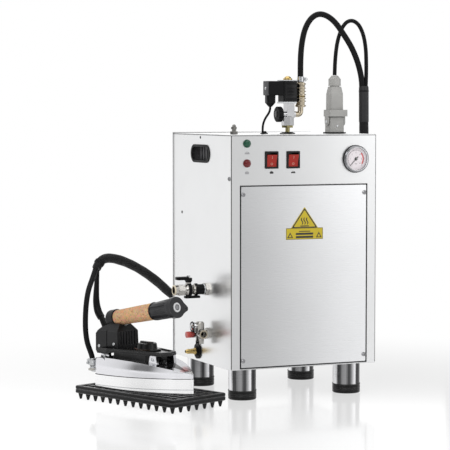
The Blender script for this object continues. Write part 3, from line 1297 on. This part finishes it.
# -------------------------------------------------------- valve small pieces
def on_valve(out, up=0.0):
    """Point out mm left of the cabinet's side and up mm over the blowdown valve's axis."""
    return place(LEFT - out, VALVE_Y, VALVE_Z + up)


annulus("blowdown_end_ring", [(6.9, -1.2), (8.9, -1.2), (9.2, -0.8), (9.2, 0.5), (8.6, 1.0),
                              (6.9, 1.0)], ivory, on_valve(63.6), -X)
annulus("blowdown_neck_ring", collar(9.15, 10.2, 1), steel, on_valve(7.5), -X)
slab("blowdown_clip", rect(-43, -5.0, -15, 5.0), black_plastic, on_valve(0, -15.2), FLAT_AXES,
     4.4, bevel=1.0)
annulus("blowdown_clip_loop", [(10.9, -3), (12.3, -3), (12.3, 3), (10.9, 3)], black_plastic,
        on_valve(36), -X)
lathe("blowdown_lever_nut", [(0.4, 0), (3.1, 0), (3.3, 0.3), (3.3, 1.6), (2.8, 2.2),
                             (0.4, 2.2)], steel, on_valve(36, 23.3), Z, "lever_blowdown", 6)
DRAIN_Y, DRAIN_Z = -29.7, 111.1
annulus("drain_hub_band", collar(8.0, 9.2, 0.9, chamfer=0.15), black_plastic,
        place(LEFT - 30.6, DRAIN_Y, 124.1), -X, "lever_drain")
annulus("drain_outlet_ring", [(5.7, -0.6), (7.6, -0.6), (7.8, -0.2), (7.4, 0.7), (5.7, 0.7)],
        brass_pale, place(LEFT - 16, DRAIN_Y - 17.5, DRAIN_Z), -Y)


# --------------------------------------------------------- lid small pieces
def coil_front(name, outline, mat, out, thick, bevel):
    """Plate on the coil's front face, out mm before its axis."""
    slab(name, outline, mat, place(COIL_X, LID_Y - out, COIL_Z), FRONT_AXES, thick,
         bevel=bevel)


coil_front("coil_face_frame", rect(-12.2, 4.6, 12.2, 39.2), coil_black, out=13.35, thick=0.35,
           bevel=0.15)
coil_front("coil_blank_plate", rect(-9.6, 9.5, 9.6, 33.5), coil_black, out=13.6, thick=0.3,
           bevel=0.12)
for k in range(4):
    coil_front(f"coil_rib_{k}", rect(-11.5, 12.2 + 5.6 * k, 11.5, 13.2 + 5.6 * k),
               gloss_black, out=13.7, thick=0.5, bevel=0.15)
slab("plug_cover_frame", rect(-10.8, 17, 10.8, 37.6), plug_face,
     place(COIL_X - 42.9, LID_Y, COIL_Z), LEFT_AXES, 0.7, bevel=0.25)
lathe("plug_cover_screw", [(0.5, 0), (2.6, 0), (2.8, 0.3), (2.4, 1.0), (0.9, 1.0), (0.8, 0.5)],
      steel, place(COIL_X - 43.55, LID_Y, COIL_Z + 27), -X, segs=24)
slab("plug_coil_seam", rect(-13.2, 14.7, 13.2, 39.8), rubber,
     place(COIL_X - 14.2, LID_Y, COIL_Z), (-Y, Z, X), 0.7, bevel=0.2)
lathe("coil_dome_nut", [(0.3, 0), (7.9, 0), (8.2, 0.4), (8.2, 2.9), (6.6, 3.4), (5.9, 4.6),
                        (4.6, 6.0), (2.6, 6.9), (0.3, 7.2)],
      brass, place(COIL_X, LID_Y, COIL_Z + 42.0), Z)
knob_left = (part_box("steam_knob")[0].x - CENTER_X) * 1000
lathe("handwheel_cap", [(0.3, 0), (6.0, 0), (6.2, 0.3), (5.4, 0.9), (2.0, 1.1), (0.3, 1.1)],
      gloss_black, place(knob_left + 0.05, LID_Y, TOP + 35), -X, "handwheel", 32)

# Connector: seal line, screws on the latch's pivots and on the front, ring on top.
slab("connector_seal", bar_outline(28.8, 24.0), rubber, place(PLUG_X, LID_Y, TOP + 29.4),
     FLAT_AXES, 1.0, bevel=0.3)
for side in (-1, 1):
    lathe(f"latch_pivot_{side + 1}", [(0.4, 0), (2.9, 0), (3.1, 0.3), (2.7, 1.0), (0.9, 1.0)],
          steel, place(PLUG_X + 17.3 * side, LID_Y - 2, TOP + 21), X * side, "latch", 24)
lathe("connector_screw", [(0.4, 0), (1.7, 0), (1.9, 0.3), (1.7, 0.8), (0.6, 0.8)], steel,
      place(PLUG_X, LID_Y - 11.4, TOP + 14), -Y, segs=24)
annulus("connector_gland_ring", collar(8.0, 11.9, 0.8, chamfer=0.3), connector_grey,
        place(PLUG_X, LID_Y, TOP + 87.4), Z)

# Stacked rings of the hose elbow: height over the lid, thickness; the thin ones are dark.
for k, (z, thick) in enumerate(((50.2, 2.6), (58.5, 2.2), (63.6, 2.2), (66.9, 0.9),
                                (70.2, 2.6), (76.2, 2.0), (82.0, 2.0), (86.0, 0.9),
                                (89.4, 2.6))):
    r, finish = (9.3, dark_gap) if thick == 0.9 else (10.1, brass_pale)
    annulus(f"elbow_ring_{k}", collar(6.4, r, thick / 2, chamfer=0.4), finish,
            place(ELBOW_X, LID_Y, TOP + z), Z)
annulus("elbow_collar", collar(6.4, 8.8, 1.0), brass, place(ELBOW_X, LID_Y, TOP + 67.0), Z)


# ------------------------------------------------------------ floor and light
def floor_material():
    """White floor, softly mirroring under the product and plain white far from it."""
    made = bpy.data.materials.new("floor_white")
    graph = Graph(made, clear=True)
    distance = graph.node("VectorMath", {0: graph.node("TexCoord").outputs["Object"]},
                          operation="LENGTH").outputs["Value"]
    far = graph.remap(distance, 0.30, 1.0, 0.10, 1.0, "SMOOTHSTEP")
    lit = graph.node("BsdfDiffuse", {"Color": rgba(0.93)}).outputs[0]
    glow = graph.node("Emission", {"Strength": 1.06}).outputs[0]
    mirror = graph.node("BsdfGlossy", {"Roughness": 0.10, "Color": rgba(1)}).outputs[0]
    plain = graph.node("Emission", {"Color": rgba(1), "Strength": 1}).outputs[0]
    near = graph.mix_shader(0.32, graph.mix_shader(0.74, lit, glow), mirror)
    graph.node("OutputMaterial", {0: graph.mix_shader(far, near, plain)})
    return made


FLOOR_HALF, FLOOR_Z = 30.0, -0.0006     # metres
floor_mesh = bpy.data.meshes.new("studio_floor")
floor_mesh.from_pydata([(x, y, FLOOR_Z) for x, y in rect(-FLOOR_HALF, -FLOOR_HALF,
                                                         FLOOR_HALF, FLOOR_HALF)],
                       [], [(0, 1, 2, 3)])
floor = bpy.data.objects.new("studio_floor", floor_mesh)
scene.collection.objects.link(floor)
floor_mesh.materials.append(floor_material())

# Brightness the reflections see round the horizon: degrees from -Y towards +X, level.
HORIZON = [(-180, 0.95), (-128, 1.0), (-108, 0.88), (-92, 0.22), (-78, 0.18), (-68, 0.75),
           (-52, 0.95), (-38, 0.45), (-14, 0.20), (2, 0.62), (14, 0.90), (40, 0.96),
           (52, 0.30), (70, 0.12), (84, 0.75), (112, 0.95), (130, 0.25), (146, 0.30),
           (165, 0.90), (180, 0.95)]


def build_world():
    """White to the camera, dimmer as light, banded in reflections."""
    scene.world = bpy.data.worlds.new("studio")
    graph = Graph(scene.world, clear=True)

    def background(color, strength):
        return graph.node("Background", {0: color, 1: strength}).outputs[0]

    x, y, z = graph.split(graph.node("TexCoord").outputs["Generated"])
    azimuth = graph.math("ARCTAN2", x, graph.math("MULTIPLY", y, -1))
    bands = graph.ramp(graph.remap(azimuth, -math.pi, math.pi),
                       [((degrees + 180) / 360, level) for degrees, level in HORIZON], "EASE")
    # The bands fade out towards an even light overhead.
    zenith = graph.remap(z, 0.35, 0.8, interpolation="SMOOTHSTEP")
    reflected = background(graph.mix(zenith, bands, rgba(0.80)), 0.93)
    ray = graph.node("LightPath").outputs
    unseen = graph.mix_shader(ray["Is Glossy Ray"], background(rgba(1), 0.55), reflected)
    graph.node("OutputWorld", {0: graph.mix_shader(ray["Is Camera Ray"], unseen,
                                                   background(rgba(1), 1.0))})


build_world()


def area(name, location, size, power):
    """Square area light aimed at the middle of the scene; size in metres, power in watts."""
    light = bpy.data.lights.new(name, "AREA")
    light.shape = "RECTANGLE"
    light.size = light.size_y = size
    light.energy = power
    obj = bpy.data.objects.new(name, light)
    scene.collection.objects.link(obj)
    obj.location = place(*location)
    aim = place(-60, 0, 300) - place(*location)
    obj.rotation_euler = aim.to_track_quat("-Z", "Y").to_euler()
    return obj


lights = [area("key", (-1300, -1500, 1500), size=1.2, power=13),
          area("fill", (1400, -1300, 900), size=1.4, power=6),
          area("top_light", (0, 100, 1800), size=1.6, power=10),
          area("back_light", (600, 1700, 1000), size=1.4, power=6)]

CAMERA_DOWN, CAMERA_TURN = 3.57, -23.657     # degrees below level, and about Z
camera_data = bpy.data.cameras.new("camera")
camera = bpy.data.objects.new("camera", camera_data)
scene.collection.objects.link(camera)
camera.location = place(-1485.8, -3174.8, 517.9)
camera.rotation_euler = (math.radians(90 - CAMERA_DOWN), 0, math.radians(CAMERA_TURN))
camera_data.lens = 154.04
camera_data.sensor_width = 36
camera_data.clip_start, camera_data.clip_end = 0.05, 100
scene.camera = camera
scene.view_settings.view_transform = "Standard"
scene.view_settings.look = "None"
scene.view_settings.exposure = 0.0
